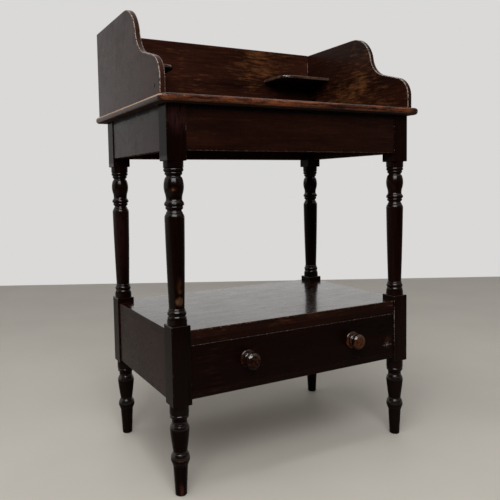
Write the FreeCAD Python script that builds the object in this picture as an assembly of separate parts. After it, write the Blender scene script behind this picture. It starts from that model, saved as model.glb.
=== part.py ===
import FreeCAD, Part
import os
from math import asin, cos, radians, sin

V = FreeCAD.Vector

# A washstand: a table on four turned legs with a gallery round its top, an open shelf near the floor
# and one drawer under that shelf. Millimetres: X runs across the front, Y from front to back, Z up.

# Frame, measured across the outer faces of the legs
frame_width = 600.0
frame_depth = 375.0
leg_height = 758.0
leg_square = 40.0
upper_block = 106.5
lower_block_bottom = 181.0
lower_block = 157.0
leg_arris = 1.8
arris = 1.2
turning_waste = 0.4

# Mortise and tenon joints
tenon_length = 20.0
tenon_thickness = 8.0
tenon_shoulder = 8.0
apron_haunch = 16.0
joint_gap = 0.1
mortise_end_gap = 1.0

# Aprons under the top
apron_height = 87.0
apron_thickness = 18.0
apron_setback = 2.0

# Top board
top_thickness = 15.0
top_overhang_front = 22.5
top_overhang_side = 19.5
top_overhang_back = 26.5
top_corner_radius = 16.0
top_nosing = 6.5

# Gallery round the top
gallery_height = 198.5
gallery_thickness = 12.0
gallery_side_inset = 7.5
gallery_back_inset = 2.0
gallery_front_inset = 20.5
gallery_edge = 2.5
gallery_open_joint = 1.2
hump_radius = 71.0
hump_turn = 80.0
hollow_radius = 62.0
slope_angle = 17.0
slope_length = 51.5
toe_radius = 49.0

# Small shelves housed in the back corners of the gallery
corner_shelf_width = 150.0
corner_shelf_depth = 96.0
corner_shelf_thickness = 7.5
corner_shelf_rise = 111.5
corner_shelf_round = 37.0
corner_shelf_edge = 2.0
housing_depth = 4.0
housing_gap = 0.1

# Lower shelf and the case of the drawer
shelf_thickness = 16.0
shelf_below_block = 11.5
shelf_edge = 3.0
shelf_notch_gap = 0.3
panel_thickness = 18.0
panel_setback = 3.0
panel_rise = 6.5
front_setback = 2.5
rail_depth = 36.0
rail_tenon_width = 22.0
upper_rail_height = 12.5
upper_rail_tenon = 6.0
lower_rail_height = 17.0
lower_rail_rise = 10.0
runner_ledge = 15.0
guide_height = 22.0
kicker_ledge = 20.0
stop_length = 30.0
stop_depth = 12.0
stop_height = 5.0
stop_spacing = 300.0

# Drawer
drawer_side_gap = 0.8
drawer_top_gap = 1.0
drawer_run_gap = 0.3
drawer_stop_gap = 0.3
drawer_front_thickness = 18.0
drawer_side_thickness = 10.0
drawer_side_drop = 1.0
drawer_back_thickness = 10.0
drawer_back_drop = 16.0
drawer_back_clearance = 11.5
drawer_lap = 5.0
drawer_edge = 0.8
tail_count = 3
tail_slope = 1 / 7
pin_width = 6.0
bottom_thickness = 6.0
bottom_rise = 8.0
groove_depth = 5.0
groove_gap = 0.1

# Knobs
knob_spacing = 270.0
knob_spigot_radius = 6.0
knob_flange_radius = 18.2

# Glue blocks, screws and nails
block_length = 55.0
block_size = 22.0
block_spacing = 260.0
screw_length = 38.0
screw_radius = 2.0
screw_head_radius = 4.0
screw_head_depth = 3.0
screw_tip = 6.0
screw_point_radius = 0.7
back_screw_spacing = 200.0
side_screw_spacing = 300.0
nail_width = 2.4
nail_thickness = 1.6
nail_tip_width = 1.0
nail_head_width = 4.4
nail_head_depth = 1.2
gallery_nail_length = 32.0
gallery_nail_spacing = 60.0
gallery_nail_drop = 15.0
bottom_nail_length = 24.0
bottom_nail_spacing = 130.0

# Turned work, from a block downwards. Each element is (length, depth at its end, swell): the depth is how
# far the cut has gone below the full round, and the swell bows the element out, or in where it is negative.
column_head = [
    (12.5, 0.2, 0.0),    # collar
    (0.8, 2.0, 0.0),     # quirk
    (6.8, 2.0, 1.7),     # ring
    (1.0, 3.4, 0.0),     # quirk
    (4.8, 3.6, 1.0),     # bead
    (1.2, 5.2, 0.0),     # quirk
    (3.0, 4.9, -0.4),    # neck
    (2.8, 2.6, 0.3),     # fillet
    (27.4, 2.0, 2.1),    # vase
    (12.3, 4.0, -0.6),   # waist of the vase
    (4.5, 1.9, -0.5),    # flare
    (4.6, 0.4, 0.5),     # ring
    (2.4, 1.3, 0.5),     # underside of the ring
    (1.4, 3.4, 0.0),     # quirk
    (5.8, 3.6, 1.0),     # bead
    (1.2, 5.4, 0.0),     # quirk
    (2.8, 5.0, -0.3),    # neck
    (4.2, 3.2, 0.5),     # fillet
    (0.5, 2.7, 0.0),     # quirk
    (7.6, 0.3, 0.8),     # shoulder of the shaft
]
shaft_depth = 4.4
shaft_swell = 0.4
column_base = [
    (0.7, 3.6, 0.0),     # step
    (3.0, 3.4, 0.4),     # fillet
    (0.8, 2.9, 0.0),     # step
    (8.6, 1.9, 1.4),     # torus
    (0.8, 2.7, 0.0),     # quirk
    (5.6, 1.0, 0.6),     # ring
    (0.7, 1.8, 0.0),     # quirk
    (0.6, 0.2, 0.0),     # step
    (11.0, 0.2, 0.0),    # plinth
]
foot_head = [
    (17.5, 0.5, 0.0),    # collar
    (1.0, 2.4, 0.0),     # quirk
    (7.4, 2.6, 1.7),     # ring
    (1.6, 3.9, 0.0),     # step
    (9.0, 4.1, -0.7),    # neck
    (3.6, 2.5, 0.2),     # fillet
    (0.5, 1.9, 0.0),     # quirk
    (10.0, 0.4, 0.7),    # shoulder of the bulb
    (41.0, 5.4, 0.3),    # taper of the bulb
    (4.5, 4.2, -0.4),    # flare
    (0.6, 3.4, 0.0),     # step
    (9.4, 0.8, 0.7),     # ring
    (8.5, 2.4, 0.8),     # underside of the ring
    (0.6, 3.2, 0.0),     # quirk
    (4.6, 4.2, 0.5),     # bead
    (1.2, 5.0, 0.0),     # quirk
]
foot_start_depth = 0.6
toe_depth = 8.0
toe_end = (3.0, 9.5, 0.6)

# A knob, from the drawer front outwards along its axis: (length, radius at its end, swell)
knob_turning = [
    (4.0, knob_flange_radius - 0.6, 0.9),    # flange
    (1.2, 13.4, 0.0),                        # face of the flange
    (6.3, 13.0, 1.5),                        # bead
    (0.8, 11.6, 0.0),                        # quirk
    (4.7, 12.4, -1.4),                       # neck
    (0.8, 15.0, 0.0),                        # back of the head
    (9.6, 15.2, 2.4),                        # rim of the head
    (3.6, 9.5, 0.9),                         # shoulder of the face
]
knob_crown = 1.0

# Places that follow from the sizes
full_round = leg_square / 2 - turning_waste
half_width = frame_width / 2
half_depth = frame_depth / 2
leg_inner_x = half_width - leg_square
leg_inner_y = half_depth - leg_square
lower_block_top = lower_block_bottom + lower_block
upper_block_bottom = leg_height - upper_block
top_surface = leg_height + top_thickness
top_x = half_width + top_overhang_side
top_front = -half_depth - top_overhang_front
top_back = half_depth + top_overhang_back
gallery_x = top_x - gallery_side_inset
gallery_inner_x = gallery_x - gallery_thickness
gallery_front = top_front + gallery_front_inset
gallery_rear = top_back - gallery_back_inset
gallery_back_face = gallery_rear - gallery_thickness
gallery_top = top_surface + gallery_height
shelf_top = lower_block_top - shelf_below_block
shelf_underside = shelf_top - shelf_thickness
case_front = -half_depth + front_setback
panel_x = half_width - panel_setback
panel_inner_x = panel_x - panel_thickness
panel_back = half_depth - panel_setback
panel_back_face = panel_back - panel_thickness
panel_bottom = lower_block_bottom + panel_rise
rail_back = case_front + rail_depth
opening_top = shelf_underside - upper_rail_height
runner_bottom = lower_block_bottom + lower_rail_rise
runner_top = runner_bottom + lower_rail_height
drawer_x = leg_inner_x - drawer_side_gap
drawer_inner_x = drawer_x - drawer_side_thickness
drawer_bottom_edge = runner_top + drawer_run_gap
drawer_top_edge = opening_top - drawer_top_gap
drawer_shoulder = case_front + drawer_front_thickness
drawer_rear = panel_back_face - drawer_back_clearance
drawer_back_face = drawer_rear - drawer_back_thickness
bottom_underside = drawer_bottom_edge + bottom_rise
bottom_top = bottom_underside + bottom_thickness
knob_height = (drawer_bottom_edge + drawer_top_edge) / 2
knob_reach = sum(length for length, radius, swell in knob_turning) + knob_crown
knob_front = case_front - knob_reach

sides = {"left": -1, "right": 1}
ends = {"front": -1, "back": 1}
parts = {}


def box(x, y, z):
    """Block between two limits on each axis, given in either order."""
    low = V(min(x), min(y), min(z))
    size = V(max(x), max(y), max(z)) - low
    return Part.makeBox(size.x, size.y, size.z, low)


def about(middle, width):
    """Limits of a band of that width about its middle."""
    return middle - width / 2, middle + width / 2


def eased(shape, radius, chosen):
    """The shape with the edges that the test chooses rounded."""
    return shape.makeFillet(radius, [edge for edge in shape.Edges if chosen(edge.BoundBox)])


def turned(top, radius, elements, crown=0.0):
    """Solid turned about the Z axis from the height top downwards: (length, end radius, swell) each.

    A crown closes the end with the cap of a ball, that much high.
    """
    points = [V(0, 0, top), V(radius, 0, top)]
    edges = [Part.LineSegment(*points).toShape()]
    for length, end_radius, swell in elements:
        start = points[-1]
        end = V(end_radius, 0, start.z - length)
        middle = (start + end) / 2 + V(swell, 0, 0)
        curve = Part.Arc(start, middle, end) if swell else Part.LineSegment(start, end)
        edges.append(curve.toShape())
        points.append(end)
    if crown:
        start = points[-1]
        end = V(0, 0, start.z - crown)
        ball = (start.x**2 + crown**2) / (2 * crown)
        half_angle = asin(start.x / ball) / 2
        middle = end + V(ball * sin(half_angle), 0, ball * (1 - cos(half_angle)))
        edges.append(Part.Arc(start, middle, end).toShape())
        points.append(end)
    foot = V(0, 0, points[-1].z)
    if points[-1].x > 0:
        edges.append(Part.LineSegment(points[-1], foot).toShape())
    edges.append(Part.LineSegment(foot, points[0]).toShape())
    return Part.Face(Part.Wire(edges)).revolve(V(0, 0, 0), V(0, 0, 1), 360)


def cut_depths(elements):
    """Turned elements with each depth below the full round made into a radius."""
    return [(length, full_round - depth, swell) for length, depth, swell in elements]


def total(elements):
    """Length of a run of turned elements."""
    return sum(length for length, depth, swell in elements)


# Boards that are tenoned into the legs. Each adds its own mortises to the list that the legs are cut with.
mortises = []


def tenoned(axis, half, across, height, tenon_across, tenon_height, bottom_arris=0.0):
    """Board along X or Y between the shoulders at -half and +half, with a tenon at each end."""

    def block(along, wide, high):
        return box(along, wide, high) if axis == "x" else box(wide, along, high)

    def grown(limits):
        return min(limits) - joint_gap, max(limits) + joint_gap

    board = block((-half, half), across, height)
    if bottom_arris:
        board = eased(
            board,
            bottom_arris,
            lambda edge: edge.ZMax < min(height) + bottom_arris
            and max(edge.XLength, edge.YLength) > half,
        )
    for end in ends.values():
        shoulder = end * half
        tip = end * (half + tenon_length)
        board = board.fuse(block((shoulder, tip), tenon_across, tenon_height))
        hole = (shoulder, tip + end * mortise_end_gap)
        mortises.append(block(hole, grown(tenon_across), grown(tenon_height)))
    return board.removeSplitter()


# Aprons: the frieze under the top, set back a little from the faces of the legs
apron_z = (leg_height - apron_height, leg_height)
apron_tenon_z = (apron_z[0] + tenon_shoulder, leg_height - apron_haunch)
apron_inner_x = half_width - apron_setback - apron_thickness
apron_inner_y = half_depth - apron_setback - apron_thickness
apron_tenon_x = apron_inner_x + apron_thickness / 2
apron_tenon_y = apron_inner_y + apron_thickness / 2
for name, end in ends.items():
    across = (end * apron_inner_y, end * (apron_inner_y + apron_thickness))
    tenon = about(end * apron_tenon_y, tenon_thickness)
    parts["apron_" + name] = tenoned("x", leg_inner_x, across, apron_z, tenon, apron_tenon_z, arris)
for name, side in sides.items():
    across = (side * apron_inner_x, side * (apron_inner_x + apron_thickness))
    tenon = about(side * apron_tenon_x, tenon_thickness)
    parts["apron_" + name] = tenoned("y", leg_inner_y, across, apron_z, tenon, apron_tenon_z, arris)

# Case of the drawer: two side panels and a back panel, with a rail over and a rail under the drawer
panel_z = (panel_bottom, shelf_underside)
panel_tenon_z = (panel_bottom + tenon_shoulder, shelf_underside - tenon_shoulder)
for name, side in sides.items():
    across = (side * panel_inner_x, side * panel_x)
    tenon = about(side * (panel_inner_x + panel_x) / 2, tenon_thickness)
    parts["lower_panel_" + name] = tenoned("y", leg_inner_y, across, panel_z, tenon, panel_tenon_z, arris)
back_across = (panel_back_face, panel_back)
back_tenon = about((panel_back_face + panel_back) / 2, tenon_thickness)
parts["lower_panel_back"] = tenoned(
    "x", leg_inner_x, back_across, panel_z, back_tenon, panel_tenon_z, arris
)
rail_y = (case_front, rail_back)
rail_tenon_y = about((case_front + rail_back) / 2, rail_tenon_width)
upper_rail_z = (opening_top, shelf_underside)
upper_rail_tenon_z = about((opening_top + shelf_underside) / 2, upper_rail_tenon)
lower_rail_z = (runner_bottom, runner_top)
lower_rail_tenon_z = about((runner_bottom + runner_top) / 2, tenon_thickness)
parts["drawer_rail_upper"] = tenoned(
    "x", leg_inner_x, rail_y, upper_rail_z, rail_tenon_y, upper_rail_tenon_z
)
parts["drawer_rail_lower"] = tenoned(
    "x", leg_inner_x, rail_y, lower_rail_z, rail_tenon_y, lower_rail_tenon_z, arris
)


# Legs: one billet each, left square where the boards are joined to it and turned between and below
def leg_blank():
    """A leg about the Z axis, before its mortises are cut."""
    square = about(0, leg_square)
    upper = box(square, square, (upper_block_bottom, leg_height))
    upper = eased(upper, leg_arris, lambda edge: edge.ZMin < leg_height - leg_arris)
    lower = box(square, square, (lower_block_bottom, lower_block_top))
    lower = eased(lower, leg_arris, lambda edge: True)
    shaft_length = upper_block_bottom - lower_block_top - total(column_head) - total(column_base)
    shaft = [(shaft_length, shaft_depth, shaft_swell)]
    column = turned(upper_block_bottom, full_round, cut_depths(column_head + shaft + column_base))
    toe_length = lower_block_bottom - total(foot_head) - toe_end[0]
    toe = [(toe_length, toe_depth, 0.0), toe_end]
    foot = turned(lower_block_bottom, full_round - foot_start_depth, cut_depths(foot_head + toe))
    return upper.fuse([column, lower, foot]).removeSplitter()


blank = leg_blank()
leg_x = half_width - leg_square / 2
leg_y = half_depth - leg_square / 2
for end_name, end in ends.items():
    for side_name, side in sides.items():
        leg = blank.translated(V(side * leg_x, end * leg_y, 0))
        near = [mortise for mortise in mortises if mortise.BoundBox.intersect(leg.BoundBox)]
        parts["leg_" + end_name + "_" + side_name] = leg.cut(near)

# Screws that come up through the top board into the gallery, and nails through its sides into the back
screw_turning = [
    (screw_tip, screw_radius, 0.0),
    (screw_length - screw_tip - screw_head_depth, screw_radius, 0.0),
    (screw_head_depth, screw_head_radius, 0.0),
]
screw = turned(leg_height + screw_length, screw_point_radius, screw_turning)
side_board_x = gallery_x - gallery_thickness / 2
back_board_y = gallery_rear - gallery_thickness / 2
screws = []
for step in (-1, 0, 1):
    screws.append(screw.translated(V(step * back_screw_spacing, back_board_y, 0)))
for side in sides.values():
    for step in (-0.5, 0.5):
        screws.append(screw.translated(V(side * side_board_x, step * side_screw_spacing, 0)))
parts["gallery_screws"] = Part.makeCompound(screws)


def nail(length):
    """A cut nail along Z, its point up and its head's face at zero height: flat, and tapered in width."""
    corners = [
        V(-nail_head_width / 2, 0, 0),
        V(-nail_head_width / 2, 0, nail_head_depth),
        V(-nail_width / 2, 0, nail_head_depth),
        V(-nail_tip_width / 2, 0, length),
    ]
    corners += [V(-corner.x, 0, corner.z) for corner in reversed(corners)]
    outline = Part.Face(Part.makePolygon(corners + corners[:1]))
    return outline.extrude(V(0, nail_thickness, 0)).translated(V(0, -nail_thickness / 2, 0))


gallery_nail_middle = top_surface + gallery_height / 2 - gallery_nail_drop
gallery_nails = []
for side in sides.values():
    across = nail(gallery_nail_length).rotated(V(0, 0, 0), V(0, 1, 0), -90 * side)
    for step in (-1, 0, 1):
        height = gallery_nail_middle + step * gallery_nail_spacing
        gallery_nails.append(across.translated(V(side * gallery_x, back_board_y, height)))
parts["gallery_nails"] = Part.makeCompound(gallery_nails)

# Top board: rounded front corners and a rounded edge on the front and sides, square at the back
top_board = box((-top_x, top_x), (top_front, top_back), (leg_height, top_surface))
top_board = eased(
    top_board,
    top_corner_radius,
    lambda edge: edge.ZLength > top_thickness / 2 and edge.YMax < 0,
)
top_board = eased(
    top_board,
    top_nosing,
    lambda edge: edge.ZLength < top_thickness / 2 and edge.YMin < top_back - top_nosing,
)
parts["top_board"] = top_board.cut(screws)

# Corner shelves: let into grooves in the gallery, with the free corner rounded
corner_shelf_top = top_surface + corner_shelf_rise + corner_shelf_thickness
corner_shelf_z = (top_surface + corner_shelf_rise, corner_shelf_top)
corner_shelf_inner = gallery_inner_x - corner_shelf_width
corner_shelf_front = gallery_back_face - corner_shelf_depth
housings = []
for name, side in sides.items():
    shelf_x = (side * corner_shelf_inner, side * (gallery_inner_x + housing_depth))
    shelf_y = (corner_shelf_front, gallery_back_face + housing_depth)
    shelf = box(shelf_x, shelf_y, corner_shelf_z)
    shelf = eased(
        shelf,
        corner_shelf_round,
        lambda edge: edge.ZLength > corner_shelf_thickness / 2
        and edge.YMax < gallery_back_face
        and abs(edge.XMax) < gallery_inner_x,
    )
    shelf = eased(
        shelf,
        corner_shelf_edge,
        lambda edge: edge.ZLength < corner_shelf_thickness / 2
        and edge.YMin < gallery_back_face
        and min(abs(edge.XMin), abs(edge.XMax)) < gallery_inner_x,
    )
    parts["corner_shelf_" + name] = shelf
    groove_z = (corner_shelf_z[0] - housing_gap, corner_shelf_z[1] + housing_gap)
    groove_x = (shelf_x[0] - side * housing_gap, shelf_x[1] + side * housing_gap)
    groove_y = (shelf_y[0] - housing_gap, shelf_y[1] + housing_gap)
    housings.append(box(groove_x, groove_y, groove_z))

# Gallery: a straight back board between two sides whose front edge falls in a hump, a hollow and a toe
hump = radians(hump_turn)
slope = radians(slope_angle)


def bend(start, radius, first, last):
    """Arc that runs forwards and down, its fall turning from one angle to another; and its end."""

    def reach(angle):
        return V(0, -radius * (sin(angle) - sin(first)), radius * (cos(angle) - cos(first)))

    sense = 1 if last > first else -1
    end = start + reach(last) * sense
    return Part.Arc(start, start + reach((first + last) / 2) * sense, end).toShape(), end


def gallery_side(side):
    """One side of the gallery as an upright board with its shaped front edge."""
    hump_run = hump_radius * sin(hump)
    hollow_run = hollow_radius * (sin(hump) - sin(slope))
    toe_run = toe_radius * (1 - sin(slope))
    shaped_run = hump_run + hollow_run + slope_length * cos(slope) + toe_run
    outer = side * gallery_x
    back_foot = V(outer, gallery_rear, top_surface)
    back_head = V(outer, gallery_rear, gallery_top)
    hump_start = V(outer, gallery_front + shaped_run, gallery_top)
    hump_arc, hump_end = bend(hump_start, hump_radius, 0, hump)
    hollow_arc, hollow_end = bend(hump_end, hollow_radius, hump, slope)
    slope_end = hollow_end + V(0, -slope_length * cos(slope), -slope_length * sin(slope))
    toe_arc, toe_foot = bend(slope_end, toe_radius, slope, radians(90))
    front_foot = V(outer, toe_foot.y, top_surface)
    edges = [
        Part.LineSegment(back_foot, back_head).toShape(),
        Part.LineSegment(back_head, hump_start).toShape(),
        hump_arc,
        hollow_arc,
        Part.LineSegment(hollow_end, slope_end).toShape(),
        toe_arc,
        Part.LineSegment(toe_foot, front_foot).toShape(),
        Part.LineSegment(front_foot, back_foot).toShape(),
    ]
    board = Part.Face(Part.Wire(edges)).extrude(V(-side * gallery_thickness, 0, 0))
    return eased(
        board,
        gallery_edge,
        lambda edge: edge.XLength < gallery_thickness / 2
        and edge.ZMax > top_surface + gallery_edge
        and edge.YMin < gallery_rear - gallery_edge,
    )


for name, side in sides.items():
    parts["gallery_" + name] = gallery_side(side).cut(housings + screws + gallery_nails)
back_half = gallery_inner_x - gallery_open_joint
back_y = (gallery_back_face, gallery_rear)
gallery_back = box((-back_half, back_half), back_y, (top_surface, gallery_top))
gallery_back = eased(
    gallery_back,
    gallery_edge,
    lambda edge: edge.ZMin > gallery_top - gallery_edge and edge.XLength > back_half,
)
parts["gallery_back"] = gallery_back.cut(housings + screws + gallery_nails)

# Lower shelf: lies on the case of the drawer and is notched round the leg blocks
shelf = box((-panel_x, panel_x), (case_front, panel_back), (shelf_underside, shelf_top))
shelf = eased(
    shelf,
    shelf_edge,
    lambda edge: edge.ZMin > shelf_top - shelf_edge and edge.YMin < leg_inner_y,
)
notches = []
for end in ends.values():
    for side in sides.values():
        notch_x = (side * (leg_inner_x - shelf_notch_gap), side * frame_width)
        notch_y = (end * (leg_inner_y - shelf_notch_gap), end * frame_depth)
        notches.append(box(notch_x, notch_y, (shelf_underside, shelf_top)))
parts["lower_shelf"] = shelf.cut(notches)

# Runners, guides and kickers inside the case, between the legs on each side
between_legs = (-leg_inner_y, leg_inner_y)
for name, side in sides.items():
    ledge_x = (side * (leg_inner_x - runner_ledge), side * leg_inner_x)
    wall_x = (side * leg_inner_x, side * panel_inner_x)
    runner = box(ledge_x, (rail_back, panel_back_face), (runner_bottom, runner_top))
    parts["drawer_runner_" + name] = runner.fuse(
        box(wall_x, between_legs, (runner_bottom, runner_top))
    ).removeSplitter()
    parts["drawer_guide_" + name] = box(wall_x, between_legs, (runner_top, runner_top + guide_height))
    kicker_x = (side * (leg_inner_x - kicker_ledge), side * panel_inner_x)
    parts["drawer_kicker_" + name] = box(kicker_x, between_legs, (opening_top, shelf_underside))

# Stops on the lower rail, behind the drawer front
stop_front = drawer_shoulder + drawer_stop_gap
stops = []
for side in sides.values():
    stop_x = about(side * stop_spacing / 2, stop_length)
    stops.append(box(stop_x, (stop_front, stop_front + stop_depth), (runner_top, runner_top + stop_height)))
parts["drawer_stops"] = Part.makeCompound(stops)


# Drawer: sides dovetailed to the front, where the joint is lapped, and to the back, where it goes through
def tails(x, root, tip, low, high):
    """A row of dovetails on a drawer side, from the root out to the wider tip."""
    pitch = (high - low) / tail_count
    tip_half = (pitch - pin_width) / 2
    root_half = tip_half - abs(tip - root) * tail_slope
    row = []
    for step in range(tail_count):
        middle = low + (step + 0.5) * pitch
        corners = [
            V(x[0], root, middle - root_half),
            V(x[0], tip, middle - tip_half),
            V(x[0], tip, middle + tip_half),
            V(x[0], root, middle + root_half),
        ]
        face = Part.Face(Part.makePolygon(corners + corners[:1]))
        row.append(face.extrude(V(x[1] - x[0], 0, 0)))
    return row


drawer_side_top = drawer_top_edge - drawer_side_drop
drawer_back_top = drawer_side_top - drawer_back_drop
tail_front = case_front + drawer_lap
side_z = (drawer_bottom_edge, drawer_side_top)
back_z = (bottom_top, drawer_back_top)
bottom_slot_z = (bottom_underside - groove_gap, bottom_top + groove_gap)
drawer_sides = []
for name, side in sides.items():
    side_x = (side * drawer_inner_x, side * drawer_x)
    front_waste = box(side_x, (tail_front, drawer_shoulder), side_z)
    front_waste = front_waste.cut(tails(side_x, drawer_shoulder, tail_front, *side_z))
    back_waste = box(side_x, (drawer_back_face, drawer_rear), back_z)
    back_waste = back_waste.cut(tails(side_x, drawer_back_face, drawer_rear, *back_z))
    slot_x = (side * (drawer_inner_x - groove_gap), side * (drawer_inner_x + groove_depth))
    slot = box(slot_x, (drawer_shoulder, drawer_rear), bottom_slot_z)
    board = box(side_x, (tail_front, drawer_rear), side_z).cut([front_waste, back_waste, slot])
    parts["drawer_side_" + name] = board
    drawer_sides.append(board)

# Bottom of the drawer: slides into grooves in the sides and front, and is nailed up into the back
bottom_x = drawer_inner_x + groove_depth - groove_gap
tongue_x = drawer_inner_x - groove_gap
tongue_front = drawer_shoulder - groove_depth + groove_gap
bottom_z = (bottom_underside, bottom_top)
bottom = box((-bottom_x, bottom_x), (drawer_shoulder, drawer_rear), bottom_z)
bottom = bottom.fuse(box((-tongue_x, tongue_x), (tongue_front, drawer_shoulder), bottom_z)).removeSplitter()
nail_y = (drawer_back_face + drawer_rear) / 2
bottom_nails = []
for step in (-1.5, -0.5, 0.5, 1.5):
    place = V(step * bottom_nail_spacing, nail_y, bottom_underside)
    bottom_nails.append(nail(bottom_nail_length).translated(place))
parts["drawer_bottom_nails"] = Part.makeCompound(bottom_nails)
parts["drawer_bottom"] = bottom.cut(bottom_nails)
back_board = box((-drawer_x, drawer_x), (drawer_back_face, drawer_rear), back_z)
parts["drawer_back"] = back_board.cut(drawer_sides + bottom_nails)

# Knobs: turned in one piece with a spigot that is glued right through the drawer front
spigot = [(drawer_front_thickness, knob_spigot_radius, 0.0), (0.0, knob_flange_radius, 0.0)]
knob = turned(drawer_front_thickness, knob_spigot_radius, spigot + knob_turning, knob_crown)
knob = knob.rotated(V(0, 0, 0), V(1, 0, 0), -90)
knobs = []
for name, side in sides.items():
    placed = knob.translated(V(side * knob_spacing / 2, case_front, knob_height))
    parts["knob_" + name] = placed
    knobs.append(placed)

# Drawer front: its arrises are eased, and it is cut for the dovetails, the bottom and the knobs
front_y = (case_front, drawer_shoulder)
drawer_front = box((-drawer_x, drawer_x), front_y, (drawer_bottom_edge, drawer_top_edge))
drawer_front = eased(drawer_front, drawer_edge, lambda edge: edge.YMax < case_front + drawer_edge)
slot_y = (drawer_shoulder - groove_depth, drawer_shoulder)
front_slot = box((-drawer_inner_x, drawer_inner_x), slot_y, bottom_slot_z)
parts["drawer_front"] = drawer_front.cut(drawer_sides + knobs + [front_slot])

# Glue blocks in the angle between the aprons and the top
block_corners = [V(0, 0, 0), V(0, -block_size, 0), V(0, 0, -block_size)]
block_face = Part.Face(Part.makePolygon(block_corners + block_corners[:1]))
glue_block = block_face.extrude(V(block_length, 0, 0)).translated(V(-block_length / 2, 0, 0))
at_back = glue_block.translated(V(0, apron_inner_y, leg_height))
at_right = glue_block.rotated(V(0, 0, 0), V(0, 0, 1), -90).translated(V(apron_inner_x, 0, leg_height))
glue_blocks = [at_right, at_right.rotated(V(0, 0, 0), V(0, 0, 1), 180)]
for step in (-0.5, 0.5):
    placed = at_back.translated(V(step * block_spacing, 0, 0))
    glue_blocks += [placed, placed.rotated(V(0, 0, 0), V(0, 0, 1), 180)]
parts["top_glue_blocks"] = Part.makeCompound(glue_blocks)

# The origin lies on the floor under the middle of the whole stand, knobs and top board included
to_origin = V(0, -(knob_front + top_back) / 2, 0)
os.makedirs("parts", exist_ok=True)
for name, shape in parts.items():
    shape.translated(to_origin).exportStep("parts/" + name + ".step")
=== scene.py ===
from collections import namedtuple

import bpy
from mathutils import Matrix, Vector


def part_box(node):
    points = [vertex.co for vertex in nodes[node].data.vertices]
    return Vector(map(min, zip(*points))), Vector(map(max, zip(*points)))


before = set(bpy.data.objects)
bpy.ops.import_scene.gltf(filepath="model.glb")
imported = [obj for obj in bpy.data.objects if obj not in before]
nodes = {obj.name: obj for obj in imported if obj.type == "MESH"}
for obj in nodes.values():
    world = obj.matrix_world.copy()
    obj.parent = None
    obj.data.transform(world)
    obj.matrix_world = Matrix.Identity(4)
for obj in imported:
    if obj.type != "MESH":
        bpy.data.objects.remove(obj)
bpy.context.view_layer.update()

# Legs
# Four billets of close-grained wood, turned between centres and left square where the boards are
# tenoned in. They are stained nearly black and polished, and knocks have chipped the arrises.


class Shade:
    """A value in a finish, carried by a socket of a node. Arithmetic on it adds Math nodes."""

    def __init__(self, socket):
        self.socket = socket

    def node(self, kind, settings, sockets, output=0):
        """A new node of that kind: first its settings, then the values or links of its sockets."""
        tree = self.socket.id_data
        made = tree.nodes.new("ShaderNode" + kind)
        for name, value in settings.items():
            if name == "stops":
                stops = made.color_ramp.elements
                while len(stops) < len(value):
                    stops.new(1.0)
                for stop, (position, colour) in zip(stops, value):
                    stop.position = position
                    stop.color = (*colour, 1.0)
            else:
                setattr(made, name, value)
        for name, value in sockets.items():
            if isinstance(value, Shade):
                tree.links.new(value.socket, made.inputs[name])
            else:
                made.inputs[name].default_value = value
        return Shade(made.outputs[output])

    def math(self, operation, *values):
        return self.node("Math", {"operation": operation}, dict(enumerate(values)))

    def __add__(self, other):
        return self.math("ADD", self, other)

    def __sub__(self, other):
        return self.math("SUBTRACT", self, other)

    def __rsub__(self, other):
        return self.math("SUBTRACT", other, self)

    def __mul__(self, other):
        return self.math("MULTIPLY", self, other)

    __radd__ = __add__
    __rmul__ = __mul__

    def __abs__(self):
        return self.math("ABSOLUTE", self)

    def at_least(self, other):
        return self.math("MAXIMUM", self, other)

    def at_most(self, other):
        return self.math("MINIMUM", self, other)

    def rise(self, low, high):
        """0 below low, 1 above high and a smooth step between them; low may be the greater."""
        return self.node(
            "MapRange",
            {"interpolation_type": "SMOOTHSTEP"},
            {"Value": self, "From Min": low, "From Max": high},
        )

    def xyz(self):
        """The three parts of a vector."""
        split = self.node("SeparateXYZ", {}, {"Vector": self}).socket.node
        return [Shade(part) for part in split.outputs]

    def scaled(self, factors):
        return self.node("VectorMath", {"operation": "MULTIPLY"}, {0: self, 1: factors})

    def moved(self, offset):
        return self.node("VectorMath", {"operation": "ADD"}, {0: self, 1: offset})

    def marked(self, centre, reach):
        """1 in the middle of an egg-shaped mark, falling to 0 at its reach along each axis."""
        offset = self.moved(tuple(-part for part in centre)).scaled(tuple(1 / part for part in reach))
        return offset.node("VectorMath", {"operation": "LENGTH"}, {0: offset}, "Value").rise(1.0, 0.1)

    def noise(self, scale, detail=2.0, roughness=0.5, distortion=0.0):
        """Cloudy variation about one half, at this many to the metre."""
        sockets = {"Scale": scale, "Detail": detail, "Roughness": roughness, "Distortion": distortion}
        return self.node("TexNoise", {}, {"Vector": self, **sockets})

    def ramp(self, *stops):
        """A colour for each value, from the stops between which it lies."""
        return self.node("ValToRGB", {"stops": stops}, {"Fac": self})

    def tinted(self, colour, share):
        """This colour, with another laid over it by a mask."""
        sockets = {"Factor": share, 6: self, 7: (*colour, 1.0)}
        return self.node("Mix", {"data_type": "RGBA"}, sockets, 2)


def new_finish(name):
    """An empty finish: the material and its surface node."""
    material = bpy.data.materials.new(name)
    material.use_nodes = True
    return material, material.node_tree.nodes["Principled BSDF"]


def place_and_facing(material):
    """Where a point on a finish lies in the frame, and which way the surface faces there."""
    spot = material.node_tree.nodes.new("ShaderNodeTexCoord")
    return Shade(spot.outputs["Object"]), Shade(spot.outputs["Normal"])


def join_up(material, surface, colour, rough, height, strength, distance):
    """Links a finish's colour, roughness and relief to its surface."""
    relief = height.node("Bump", {}, {"Strength": strength, "Distance": distance, "Height": height})
    for name, value in {"Base Color": colour, "Roughness": rough, "Normal": relief}.items():
        material.node_tree.links.new(value.socket, surface.inputs[name])


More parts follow.
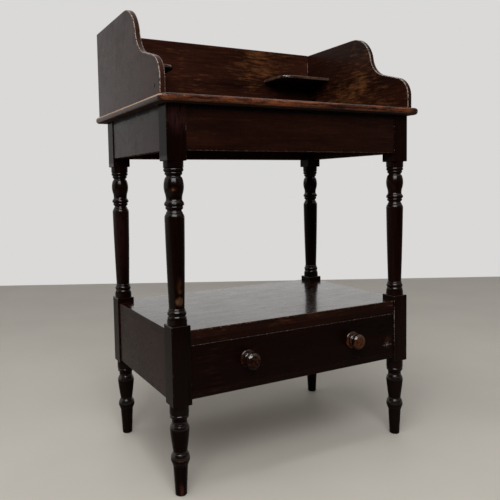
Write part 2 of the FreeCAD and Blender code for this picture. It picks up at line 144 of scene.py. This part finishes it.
def drawn_out(place, grain, times):
    """Places squeezed along the grain, so that a pattern on them is drawn out that many times."""
    factors = [1.0, 1.0, 1.0]
    factors["xyz".index(grain)] = 1.0 / times
    return place.scaled(tuple(factors))


def drifted_by(place, drift, seed):
    """Places moved to another part of the wood, as far as the seed says."""
    return place.moved(tuple(part * seed for part in drift))


def evenly(amount):
    """The same amount all over a piece."""
    return lambda place, facing: amount


stain_deep = (0.0030, 0.0010, 0.0006)
stain_thin = (0.0200, 0.0056, 0.0030)
rubbed_brown = (0.080, 0.025, 0.011)
bare_brown = (0.240, 0.120, 0.065)
# Pale of chipped arrises, also used for painted highlights on some leg arrises.
chipped_pale_and_highlight = (0.200, 0.158, 0.132)
pore_black = (0.0020, 0.0010, 0.0008)
hardwood_drift = (0.37, 0.61, 0.23)
hardwood_relief = 0.0004

# A mark tints the finish about its centre, and in a worn spot the stain is chipped or rubbed away.
Mark = namedtuple("Mark", "centre reach depth tint")
WornSpot = namedtuple("WornSpot", "centre reach amount")


def polished_wood(
    name,
    grain,
    seed,
    wear,
    rub,
    tone=1.0,
    gloss=0.26,
    index=1.2,
    bare=bare_brown,
    thin=rubbed_brown,
    relief=0.2,
    marks=(),
):
    """Dark polished wood with its grain along an axis. wear and rub are functions of a point's place and
    facing: how far the stain is chipped away, and how thin it is rubbed. A rub below 0 says that the stain
    has held."""
    material, surface = new_finish(name)
    place, facing = place_and_facing(material)
    wood = drifted_by(place, hardwood_drift, seed)
    figure = drawn_out(wood, grain, times=9.0).noise(20.0, detail=5.0, roughness=0.6, distortion=0.8)
    lines = drawn_out(wood, grain, times=40.0).noise(480.0, detail=3.0, roughness=0.6)
    pores = drawn_out(wood, grain, times=18.0).noise(1900.0, detail=1.0).rise(0.60, 0.72)
    clouds = wood.noise(8.0, detail=5.0, roughness=0.6)
    handling = wood.noise(60.0, detail=4.0, roughness=0.6)
    blots = drawn_out(wood, grain, times=2.5).noise(60.0, detail=7.0, roughness=0.74, distortion=0.3)
    strokes = drawn_out(wood, grain, times=9.0).noise(210.0, detail=5.0, roughness=0.7)
    chips = wood.noise(300.0, detail=4.0, roughness=0.65)

    colour = (figure * 0.45 + lines * 0.25 + strokes * 0.3).ramp(
        (0.34, tuple(part * tone for part in stain_deep)),
        (0.68, tuple(part * tone for part in stain_thin)),
    )
    rubbed = (clouds * 1.6 + blots * 1.3 + strokes * 2.2 - 2.55 + rub(place, facing)).rise(0.05, 0.95)
    colour = colour.tinted(thin, rubbed)
    worn = (chips * 2.0 - 1.35 + wear(place, facing) * 1.1).rise(0.15, 0.55)
    colour = colour.tinted(bare, worn)
    colour = colour.tinted(pore_black, pores * 0.6)

    beneath = facing.xyz()[2].rise(-0.6, -0.9)
    rough = gloss + (clouds - 0.5) * 0.30 + (handling - 0.5) * 0.20 + worn * 0.14 + beneath * 0.6
    for mark in marks:
        patchy = blots * 3.0 + strokes * 2.0 - 1.7
        marked = (place.marked(mark.centre, mark.reach) * patchy * mark.depth).rise(0.1, 1.0)
        colour = colour.tinted(mark.tint, marked)
        rough = rough + marked * 0.3
    height = lines * 0.5 + handling * 0.35 + strokes * 0.3 - pores * 0.1
    join_up(material, surface, colour, rough, height, strength=relief, distance=hardwood_relief)
    surface.inputs["IOR"].default_value = index
    return material


def french_polish(material, index, rough, weight):
    """Lays a clear coat over a finish, as thick as its weight, a function of place and facing, says."""
    tree = material.node_tree
    surface = tree.nodes["Principled BSDF"]
    cover = weight(*place_and_facing(material))
    tree.links.new(cover.socket, surface.inputs["Coat Weight"])
    surface.inputs["Coat IOR"].default_value = index
    surface.inputs["Coat Roughness"].default_value = rough


def dress(name, material):
    """Gives a piece its finish."""
    for part in nodes[name].material_slots:
        part.material = material


sides = {"left": -1, "right": 1}
leg_tones = {
    "leg_front_left": 0.37,
    "leg_front_right": 0.62,
    "leg_back_left": 0.55,
    "leg_back_right": 0.45,
}
knock_tan = (0.090, 0.041, 0.019)
knock_orange = (0.048, 0.016, 0.005)
foot_red = (0.060, 0.016, 0.013)
foot_black = (0.0056, 0.0026, 0.0020)
block_red = (0.021, 0.0070, 0.0064)
shaft_red = (0.0115, 0.0031, 0.0027)

# Marks and worn spots of a leg are placed from the lower front left corner of its billet.
vase_knock = (0.0120, 0.0020, 0.597)
dark_foot = Mark((0.020, 0.020, 0.080), (0.080, 0.080, 0.130), 1.4, foot_black)
leg_marks = {
    "leg_front_left": [
        Mark((0.0205, 0.0035, 0.416), (0.012, 0.012, 0.032), 0.55, knock_orange),
        Mark((0.0220, 0.0035, 0.404), (0.010, 0.010, 0.010), 0.90, knock_orange),
        Mark((0.0200, 0.0035, 0.385), (0.013, 0.013, 0.014), 1.10, knock_tan),
        Mark(vase_knock, (0.012, 0.012, 0.010), 0.65, knock_orange),
        Mark(vase_knock, (0.006, 0.006, 0.004), 1.00, knock_tan),
        Mark((0.0160, 0.0040, 0.0735), (0.022, 0.016, 0.0035), 1.00, knock_orange),
        Mark((0.0145, 0.0070, 0.010), (0.013, 0.013, 0.030), 0.75, foot_red),
        Mark((0.0260, 0.0, 0.735), (0.050, 0.020, 0.064), 0.80, block_red),
    ],
    "leg_front_right": [dark_foot],
    "leg_back_left": [dark_foot, Mark((0.020, 0.006, 0.480), (0.060, 0.060, 0.140), 1.2, shaft_red)],
    "leg_back_right": [],
}
# The pale spots by the arrises of the front left leg's upper block and the front right leg's lower block
# are painted highlights.
leg_worn_and_highlight_spots = {
    "leg_front_left": [
        WornSpot((0.0060, 0.0, 0.732), (0.005, 0.004, 0.018), 0.30),
        WornSpot((0.0396, 0.0004, 0.713), (0.0012, 0.0012, 0.018), 0.45),
    ],
    "leg_front_right": [WornSpot((0.0004, 0.0004, 0.278), (0.0012, 0.0012, 0.088), 0.45)],
    "leg_back_left": [],
    "leg_back_right": [],
}


def on_leg(name, marks):
    """The marks of a leg, moved to their places in the frame."""
    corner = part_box(name)[0]
    return [mark._replace(centre=corner + Vector(mark.centre)) for mark in marks]


def worn_at(place, spot):
    """How far a worn spot has worn a place."""
    return place.marked(spot.centre, spot.reach) * spot.amount


block_chips = 0.30
block_chips_from = 0.0030
block_chips_to = 0.0008
rim_chips = 0.20
rim_height = 0.012


def leg_wear(name):
    """Wear on a leg: chips along the arrises of its blocks, round the end of the foot and in worn spots,
    some of which are painted highlights.
    """
    low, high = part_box(name)
    middle = (low + high) / 2
    half = (high.x - low.x) / 2

    def mask(place, facing):
        x, y, z = place.xyz()
        inset = half - abs(x - middle.x).at_most(abs(y - middle.y))
        worn = inset.rise(block_chips_from, block_chips_to) * block_chips
        worn = worn + z.rise(rim_height, 0.0) * rim_chips
        for spot in on_leg(name, leg_worn_and_highlight_spots[name]):
            worn = worn + worn_at(place, spot)
        return worn

    return mask


foot_rub = 0.15
foot_rubbed_from = 0.20
foot_rubbed_to = 0.02
leg_held = 0.40


def leg_rub(place, facing):
    """Stain rubbed thin on a leg towards the end of the foot, and held elsewhere."""
    return place.xyz()[2].rise(foot_rubbed_from, foot_rubbed_to) * foot_rub - leg_held


turned_polish = 0.62
foot_polish = 0.28
foot_top = 0.19
foot_blend = 0.03
column_low = 0.335
column_high = 0.660
column_blend = 0.005
column_polish = {"left": 0.28, "right": 0.06}


def leg_polish(side_name):
    """Polish on a leg: rubbed bright where the turned work faces up, brightest on the foot, with some left
    down the column between the blocks where it faces left."""

    def mask(place, facing):
        z = place.xyz()[2]
        on_foot = z.rise(foot_top + foot_blend, foot_top - foot_blend)
        above_shelf = z.rise(column_low - column_blend, column_low + column_blend)
        below_apron = z.rise(column_high + column_blend, column_high - column_blend)
        rightward, _, upward = facing.xyz()
        upper = upward.rise(-0.05, 0.30) * (turned_polish + on_foot * foot_polish)
        column = rightward.rise(-0.35, -0.85) * (above_shelf * below_apron) * column_polish[side_name]
        return upper.at_least(column)

    return mask


for number, end_name in enumerate(["front", "back"]):
    for side_name, side in sides.items():
        name = "leg_" + end_name + "_" + side_name
        finish = polished_wood(
            name,
            grain="z",
            seed=1 + number * 2 + side,
            wear=leg_wear(name),
            rub=leg_rub,
            tone=leg_tones[name],
            gloss=0.22,
            index=1.105,
            bare=chipped_pale_and_highlight,
            relief=0.03,
            marks=on_leg(name, leg_marks[name]),
        )
        french_polish(finish, index=1.5, rough=0.18, weight=leg_polish(side_name))
        dress(name, finish)

# Aprons
# Four plain boards of the same wood under the top, tenoned into the legs, with the grain running along
# each. Shade is painted dark on them under the overhang of the top.

full_wear_share = 0.15


def arris_wear(name, reach, amount):
    """Wear on a board's edges, by how near a point is to an arris of its box."""
    low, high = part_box(name)
    middle = (low + high) / 2
    half = (high - low) / 2

    def mask(place, facing):
        inset = [half[axis] - abs(part - middle[axis]) for axis, part in enumerate(place.xyz())]
        least = inset[0].at_most(inset[1]).at_most(inset[2])
        most = inset[0].at_least(inset[1]).at_least(inset[2])
        to_arris = inset[0] + inset[1] + inset[2] - least - most
        return to_arris.rise(reach, reach * full_wear_share) * amount

    return mask


# Painted shade: near-black laid on each apron just under the overhang of the top, fading downwards.
painted_shade_black = (0.0012, 0.0008, 0.0007)
painted_shade_reach = (1.5, 1.5, 0.013)
painted_shade_depth = 1.6
apron_grains = {"apron_front": "x", "apron_back": "x", "apron_left": "y", "apron_right": "y"}

for number, (name, grain) in enumerate(apron_grains.items()):
    low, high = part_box(name)
    under_top = ((low.x + high.x) / 2, (low.y + high.y) / 2, high.z)
    finish = polished_wood(
        name,
        grain=grain,
        seed=11 + number,
        wear=arris_wear(name, reach=0.0018, amount=0.58),
        rub=evenly(-0.25),
        tone=1.22,
        index=1.185,
        marks=[Mark(under_top, painted_shade_reach, painted_shade_depth, painted_shade_black)],
    )
    dress(name, finish)

# Drawer case
# Side and back panels tenoned into the lower leg blocks, and a rail over and a rail under the drawer.
# They are stained and polished like the legs, and the upper rail is rubbed the most.

panel_grains = {"lower_panel_left": "y", "lower_panel_right": "y", "lower_panel_back": "x"}

for number, (name, grain) in enumerate(panel_grains.items()):
    finish = polished_wood(
        name,
        grain=grain,
        seed=21 + number,
        wear=arris_wear(name, reach=0.003, amount=0.2),
        rub=evenly(-0.3),
        tone=1.4,
        index=1.135,
    )
    dress(name, finish)

rail_rubs = {"drawer_rail_upper": -0.15, "drawer_rail_lower": -0.30}
rail_tones = {"drawer_rail_upper": 0.8, "drawer_rail_lower": 0.5}

for number, (name, rub) in enumerate(rail_rubs.items()):
    finish = polished_wood(
        name,
        grain="x",
        seed=31 + number,
        wear=arris_wear(name, reach=0.002, amount=0.1),
        rub=evenly(rub),
        tone=rail_tones[name],
        index=1.13,
    )
    dress(name, finish)

# Lower shelf
# One wide board, notched round the leg blocks and laid on the case. Its upper arris is worn brown at the
# front, and the polish of its upper face still shines.

shelf_low, shelf_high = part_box("lower_shelf")
shelf_worn = 0.42
shelf_worn_from = 0.004
shelf_worn_to = 0.001
shelf_edge_rub = 0.30
shelf_held = 0.3
least_polish = 0.55
streak_polish = 0.75


def shelf_wear(place, facing):
    """Wear on the upper arris at the front."""
    _, y, z = place.xyz()
    at_front = y.rise(shelf_low.y + shelf_worn_from, shelf_low.y + shelf_worn_to)
    at_top = z.rise(shelf_high.z - shelf_worn_from, shelf_high.z - shelf_worn_to)
    return at_front * at_top * shelf_worn


def shelf_rub(place, facing):
    """Stain rubbed thin on the front edge."""
    return facing.xyz()[1].rise(-0.4, -0.9) * shelf_edge_rub - shelf_held


def shelf_polish(place, facing):
    """Polish on the upper face, thinner in streaks along the grain."""
    planed = drawn_out(place, "x", times=6.0).noise(70.0, detail=5.0, roughness=0.65, distortion=0.4)
    return facing.xyz()[2].rise(0.90, 0.98) * (least_polish + planed * streak_polish).at_most(1.0)


finish = polished_wood(
    "lower_shelf",
    grain="x",
    seed=41,
    wear=shelf_wear,
    rub=shelf_rub,
    tone=1.1,
    gloss=0.3,
    index=1.15,
)
french_polish(finish, index=1.5, rough=0.13, weight=shelf_polish)
dress("lower_shelf", finish)

# Runners, guides, kickers, stops and glue blocks
# Planed softwood, fixed inside the case and under the top and left without a finish. It has gone brown
# with age and grey with dust.

early_wood = (0.345, 0.215, 0.110)
late_wood = (0.265, 0.152, 0.070)
old_dirt = (0.075, 0.052, 0.034)
softwood_drift = (0.41, 0.29, 0.53)
softwood_relief = 0.0005
ring_turns = 34.0


def bare_softwood(name, grain, seed):
    """Plain softwood: bands of early and late wood, browned and dirty."""
    material, surface = new_finish(name)
    place, _ = place_and_facing(material)
    wood = drifted_by(place, softwood_drift, seed)
    sweep = drawn_out(wood, grain, times=7.0).noise(22.0, detail=2.0, roughness=0.5, distortion=0.5)
    turns = sweep * ring_turns
    rings = turns.math("SINE", turns).rise(-0.4, 1.0)
    fibres = drawn_out(wood, grain, times=40.0).noise(700.0, detail=2.0)
    dirt = wood.noise(14.0, detail=5.0, roughness=0.6)
    colour = (rings * 0.6 + fibres * 0.4).ramp((0.15, early_wood), (0.85, late_wood))
    colour = colour.tinted(old_dirt, dirt.rise(0.45, 0.75) * 0.7)
    rough = 0.62 + (fibres - 0.5) * 0.3
    height = fibres * 0.6 + rings * 0.4
    join_up(material, surface, colour, rough, height, strength=0.35, distance=softwood_relief)
    return material


for number, kind in enumerate(["drawer_runner", "drawer_guide", "drawer_kicker"]):
    for side_name, side in sides.items():
        name = kind + "_" + side_name
        dress(name, bare_softwood(name, grain="y", seed=51 + 2 * number + side))
for number, name in enumerate(["drawer_stops", "top_glue_blocks"]):
    dress(name, bare_softwood(name, grain="x", seed=61 + number))

# Drawer box
# Softwood sides lapped and dovetailed to the front, a back dovetailed between them and a thin bottom.
# The front is polished like the rest, with its upper arris rubbed pale and a scuff near its right end.

box_grains = {"drawer_side_left": "y", "drawer_side_right": "y", "drawer_back": "x", "drawer_bottom": "x"}

for number, (name, grain) in enumerate(box_grains.items()):
    dress(name, bare_softwood(name, grain=grain, seed=71 + number))

front_low, front_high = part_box("drawer_front")
front_corner = Vector((front_high.x, front_low.y, front_low.z))
front_thin = (0.036, 0.0115, 0.0085)
top_line_worn = 0.54
low_line_worn = 0.25
front_worn_from = 0.0018
front_worn_to = 0.0006
front_worn_depth = 0.0016
scuff = WornSpot(front_corner + Vector((-0.019, 0.0, 0.018)), (0.026, 0.010, 0.016), 0.56)
scuff_edge = Mark(front_corner + Vector((-0.017, 0.0, 0.028)), (0.018, 0.010, 0.018), 0.6, knock_orange)


def front_wear(place, facing):
    """Wear along the upper and lower arrises of the face, and in the scuff."""
    _, y, z = place.xyz()
    at_face = y.rise(front_low.y + front_worn_depth, front_low.y + front_worn_to)
    top_line = z.rise(front_high.z - front_worn_from, front_high.z - front_worn_to)
    low_line = z.rise(front_low.z + front_worn_from, front_low.z + front_worn_to)
    return at_face * (top_line * top_line_worn + low_line * low_line_worn) + worn_at(place, scuff)


finish = polished_wood(
    "drawer_front",
    grain="x",
    seed=75,
    wear=front_wear,
    rub=evenly(-0.22),
    tone=0.45,
    gloss=0.3,
    index=1.115,
    bare=chipped_pale_and_highlight,
    thin=front_thin,
    marks=[scuff_edge],
)
dress("drawer_front", finish)

# Knobs
# Two knobs of the same wood, turned in one piece with their spigots and glued through the drawer front.
# Hands have rubbed the faces and kept the upper sides bright.

knob_thin = (0.088, 0.029, 0.012)
knob_rubs = {"knob_left": 0.45, "knob_right": 0.62}
knob_held = 0.2


def knob_rub(amount):
    """Stain rubbed thin by fingers on the face of a knob."""
    return lambda place, facing: facing.xyz()[1].rise(-0.3, -0.95) * amount - knob_held


def knob_polish(place, facing):
    """Polish on the upper side of a knob."""
    return facing.xyz()[2].rise(0.05, 0.45)


for number, (name, amount) in enumerate(knob_rubs.items()):
    finish = polished_wood(
        name,
        grain="y",
        seed=81 + number,
        wear=evenly(0.0),
        rub=knob_rub(amount),
        tone=0.7,
        gloss=0.15,
        index=1.12,
        thin=knob_thin,
        relief=0.05,
    )
    french_polish(finish, index=1.55, rough=0.08, weight=knob_polish)
    dress(name, finish)

# Top board
# A single board with rounded front corners and a rounded edge, held from below by the glue blocks. The
# edge is worn through to red brown, and to bare wood along its brow. The pale along the left brow is
# partly wear and partly a painted highlight.

top_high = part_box("top_board")[1]
top_bare_and_highlight = (0.33, 0.210, 0.135)
top_thin = (0.158, 0.047, 0.018)
brow_z = top_high.z - 0.0035
brow_chips = 0.32
brow_chips_from = 0.0030
brow_chips_to = 0.0008
# The extra pale on the left brow is partly a painted highlight.
left_chips_and_highlight = 0.60
edge_rub = 0.22
front_rub = 0.36
dark_end = 0.0145
rubbed_end = 0.0395
top_held = 0.15


def top_edge(facing):
    """1 on the rounded edge of the top, 0 on its two faces."""
    return abs(facing.xyz()[2]).rise(0.97, 0.80)


def top_wear(place, facing):
    """Chips along the brow of the edge, most of all on the left, where they are partly a painted highlight.
    """
    brow = abs(place.xyz()[2] - brow_z).rise(brow_chips_from, brow_chips_to)
    on_left = facing.xyz()[0].rise(-0.4, -0.8)
    return top_edge(facing) * brow * (brow_chips + on_left * left_chips_and_highlight)


def top_rub(place, facing):
    """Stain rubbed thin on the edge, most of all in front; the edge is left darker towards its right end.
    """
    short_of_end = place.xyz()[0].rise(top_high.x - dark_end, top_high.x - rubbed_end)
    in_front = facing.xyz()[1].rise(-0.3, -0.8)
    return top_edge(facing) * (edge_rub + in_front * front_rub) * short_of_end - top_held


finish = polished_wood(
    "top_board",
    grain="x",
    seed=91,
    wear=top_wear,
    rub=top_rub,
    tone=1.9,
    gloss=0.25,
    index=1.25,
    bare=top_bare_and_highlight,
    thin=top_thin,
)
dress("top_board", finish)

# Gallery
# A straight back board nailed between two sides, whose front edges are sawn to a hump, a hollow and a toe.
# Washing has thinned the stain on the inside.

# The pale on the arrises of the sawn edges is partly chipped wear and partly a painted highlight.
gallery_pale_and_highlight = (0.250, 0.212, 0.178)
gallery_thin = (0.118, 0.044, 0.0145)
gallery_tones = {"left": 2.1, "right": 1.6}
sawn_chips_and_highlight = 0.67
side_rub = 0.27
back_face_rub = 0.22
gallery_held = 0.30
splash_rub = 0.21
splash_high = top_high.z + 0.177
splash_low = top_high.z + 0.027
left_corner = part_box("gallery_left")[0]
nail_hole = Mark(left_corner + Vector((0.0, 0.024, 0.018)), (0.004, 0.004, 0.006), 2.5, pore_black)
gallery_marks = {"left": [nail_hole], "right": []}


def gallery_wear_and_highlight(place, facing):
    """Wear and a painted highlight on the two arrises of a side's sawn edge, where the surface turns away
    from the faces.
    """
    turned = abs(facing.xyz()[0])
    return turned.rise(0.99, 0.90) * turned.rise(0.10, 0.35) * sawn_chips_and_highlight


def gallery_rub(side):
    """Stain thinned by washing on the inner face of a side, mostly near the top board."""

    def mask(place, facing):
        inner = (facing.xyz()[0] * -side).rise(0.5, 0.9)
        splashed = place.xyz()[2].rise(splash_high, splash_low)
        return inner * (side_rub + splashed * splash_rub) - gallery_held

    return mask


for side_name, side in sides.items():
    name = "gallery_" + side_name
    finish = polished_wood(
        name,
        grain="y",
        seed=102 + side,
        wear=gallery_wear_and_highlight,
        rub=gallery_rub(side),
        tone=gallery_tones[side_name],
        index=1.19,
        bare=gallery_pale_and_highlight,
        thin=gallery_thin,
        marks=gallery_marks[side_name],
    )
    dress(name, finish)

back_low, back_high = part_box("gallery_back")
washed_patch = WornSpot((0.135, back_low.y, back_high.z - 0.0365), (0.13, 0.05, 0.09), 0.40)
joint_pale_line = WornSpot((back_high.x, back_low.y, back_high.z - 0.0315), (0.0030, 0.0040, 0.050), 0.7)


def back_rub(place, facing):
    """Stain thinned by washing on the inner face of the back board, most of all in one patch."""
    inner = facing.xyz()[1].rise(-0.5, -0.9)
    return inner * (back_face_rub + worn_at(place, washed_patch)) - gallery_held


def back_joint_line(place, facing):
    """A pale line along the joint at the right."""
    return worn_at(place, joint_pale_line)


finish = polished_wood(
    "gallery_back",
    grain="x",
    seed=104,
    wear=back_joint_line,
    rub=back_rub,
    tone=2.2,
    index=1.16,
    bare=gallery_pale_and_highlight,
    thin=gallery_thin,
)
dress("gallery_back", finish)

# Corner shelves
# Two thin shelves let into grooves in the back corners of the gallery, with the free corner rounded.
# The free edge is rubbed, and the rounded corner is worn pale. The pale along the edge and on the corner
# is partly wear and partly a painted highlight.

# Pale on the free edge and rounded corner: partly wear, partly a painted highlight.
corner_pale_and_highlight = (0.45, 0.360, 0.285)
corner_thin = (0.080, 0.049, 0.034)
corner_from_end = 0.010
corner_from_front = 0.004
corner_reach = (0.026, 0.026, 0.010)
corner_chips_and_highlight = 0.70


def corner_wear_and_highlight(name, side):
    """Wear and a painted highlight along the free edge of a corner shelf, most of all on its rounded
    corner.
    """
    low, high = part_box(name)
    free_end = low.x + corner_from_end if side > 0 else high.x - corner_from_end
    corner = WornSpot((free_end, low.y + corner_from_front, high.z), corner_reach, corner_chips_and_highlight)
    along_edge = arris_wear(name, reach=0.004, amount=0.20)
    return lambda place, facing: along_edge(place, facing) + worn_at(place, corner)


for side_name, side in sides.items():
    name = "corner_shelf_" + side_name
    finish = polished_wood(
        name,
        grain="x",
        seed=112 + side,
        wear=corner_wear_and_highlight(name, side),
        rub=arris_wear(name, reach=0.008, amount=0.8),
        tone=1.2,
        gloss=0.2,
        index=1.28,
        bare=corner_pale_and_highlight,
        thin=corner_thin,
    )
    dress(name, finish)

# Screws and nails
# Iron wood screws up through the top into the gallery, and cut nails in the gallery and the drawer bottom.
# They are dull and rusty.

iron_scale = (0.030, 0.026, 0.024)
iron_rust = (0.085, 0.040, 0.020)
iron_relief = 0.0003


def dull_iron(name):
    """Old iron: brown-black scale with rust in it."""
    material, surface = new_finish(name)
    place, _ = place_and_facing(material)
    scale = place.noise(420.0, detail=4.0, roughness=0.6)
    colour = scale.ramp((0.35, iron_scale), (0.65, iron_rust))
    join_up(material, surface, colour, 0.45 + scale * 0.3, scale, strength=0.4, distance=iron_relief)
    surface.inputs["Metallic"].default_value = 0.8
    return material


for name in ["gallery_screws", "gallery_nails", "drawer_bottom_nails"]:
    dress(name, dull_iron(name))

# Camera
# Stands to the left of the front, a little lower than the top of the table, and is aimed slightly
# downwards.

scene = bpy.context.scene
camera_data = bpy.data.cameras.new("camera")
camera_data.lens = 41.717
camera_data.sensor_width = 36.0
camera_data.shift_x = 0.0397
camera_data.shift_y = -0.0518
camera = bpy.data.objects.new("camera", camera_data)
eye = Vector((-0.70518, -1.18800, 0.60436))
to_right = Vector((0.88165, -0.47156, -0.01836))
upwards = Vector((0.04800, 0.05091, 0.99755))
backwards = to_right.cross(upwards)
turn = Matrix((to_right, upwards, backwards)).transposed().to_4x4()
camera.matrix_world = Matrix.Translation(eye) @ turn
scene.collection.objects.link(camera)
scene.camera = camera
scene.view_settings.view_transform = "Standard"

# Floor and backdrop
# A plain pale floor, and a plain pale backdrop that stands square to the view, well behind the stand.
# The floor ends at the foot of the backdrop.

floor_front = -1.25
floor_left = -6.0
floor_right = 7.0
floor_far_right = 6.3
floor_grey = (0.425, 0.400, 0.360)
floor_pale = (0.455, 0.428, 0.385)
wall_away = 3.6
wall_left = -3.4
wall_right = 2.6
wall_height = 4.0
wall_white = (0.70, 0.693, 0.683, 1.0)
ahead = Vector((-backwards.x, -backwards.y, 0.0)).normalized()
along = Vector((ahead.y, -ahead.x, 0.0))
wall_foot = Vector((eye.x, eye.y, 0.0)) + ahead * wall_away


def flat_sheet(name, corners):
    """A sheet with four corners that belongs to the stage and not to the part."""
    mesh = bpy.data.meshes.new(name)
    mesh.from_pydata(corners, [], [(0, 1, 2, 3)])
    sheet = bpy.data.objects.new(name, mesh)
    scene.collection.objects.link(sheet)
    return sheet


floor = flat_sheet(
    "floor",
    [
        (floor_left, floor_front, 0.0),
        (floor_right, floor_front, 0.0),
        wall_foot + along * floor_far_right,
        wall_foot + along * floor_left,
    ],
)
material, surface = new_finish("floor")
place, _ = place_and_facing(material)
colour = place.noise(3.0, detail=3.0).ramp((0.3, floor_grey), (0.7, floor_pale))
material.node_tree.links.new(colour.socket, surface.inputs["Base Color"])
surface.inputs["Roughness"].default_value = 0.6
floor.data.materials.append(material)

corners = [wall_foot + along * wall_left, wall_foot + along * wall_right]
corners += [corner + Vector((0.0, 0.0, wall_height)) for corner in reversed(corners)]
wall = flat_sheet("wall", corners)
material, surface = new_finish("wall")
tree = material.node_tree
path = tree.nodes.new("ShaderNodeLightPath")
seen = Shade(path.outputs["Is Camera Ray"]).at_least(Shade(path.outputs["Is Glossy Ray"]))
seen = seen.at_least(Shade(path.outputs["Is Transmission Ray"]))
surface.inputs["Base Color"].default_value = wall_white
surface.inputs["Roughness"].default_value = 0.8
shine = seen.node("Emission", {}, {"Color": wall_white, "Strength": 1.0})
mixed = seen.node("MixShader", {}, {0: seen, 1: Shade(surface.outputs[0]), 2: shine})
tree.links.new(mixed.socket, tree.nodes["Material Output"].inputs["Surface"])
wall.data.materials.append(material)

# Light
# Soft light from all round, dim from behind the viewer and bright from the left and overhead. A soft lamp
# hangs above the stand to its left, and a larger one above the viewer lights the turned work.

room_white = (1.0, 0.985, 0.950, 1.0)
dim_light = 0.06
window_light = 0.70
right_light = 0.15
back_light = 0.35
ceiling_light = 0.75
backdrop_light = 0.70
stand_middle = Vector((0.0, 0.0, 0.5))

world = bpy.data.worlds.new("room")
scene.world = world
world.use_nodes = True
room = world.node_tree
x, y, z = Shade(room.nodes.new("ShaderNodeTexCoord").outputs["Generated"]).xyz()
path = room.nodes.new("ShaderNodeLightPath")
direct = Shade(path.outputs["Is Camera Ray"])
level = dim_light + x.rise(-0.50, -0.95) * y.rise(-0.10, 0.25) * window_light
level = level + x.rise(0.5, 0.95) * right_light
level = level + y.rise(0.2, 1.0) * back_light
level = level + z.rise(0.40, 0.95) * ceiling_light
level = level * (1 - direct) + direct * backdrop_light
room.links.new(level.socket, room.nodes["Background"].inputs["Strength"])
room.nodes["Background"].inputs["Color"].default_value = room_white


def lamp(name, place, width, height, watts):
    """A soft lamp that points at the middle of the stand, with its width level."""
    light = bpy.data.lights.new(name, "AREA")
    light.shape = "RECTANGLE"
    light.size = width
    light.size_y = height
    light.energy = watts
    holder = bpy.data.objects.new(name, light)
    holder.location = place
    holder.rotation_mode = "QUATERNION"
    holder.rotation_quaternion = (stand_middle - Vector(place)).to_track_quat("-Z", "Y")
    scene.collection.objects.link(holder)


lamp("overhead_lamp", (-0.5, -0.3, 2.6), width=0.7, height=0.7, watts=18.0)
lamp("viewer_lamp", (-0.78, -1.45, 1.70), width=1.5, height=1.0, watts=32.0)
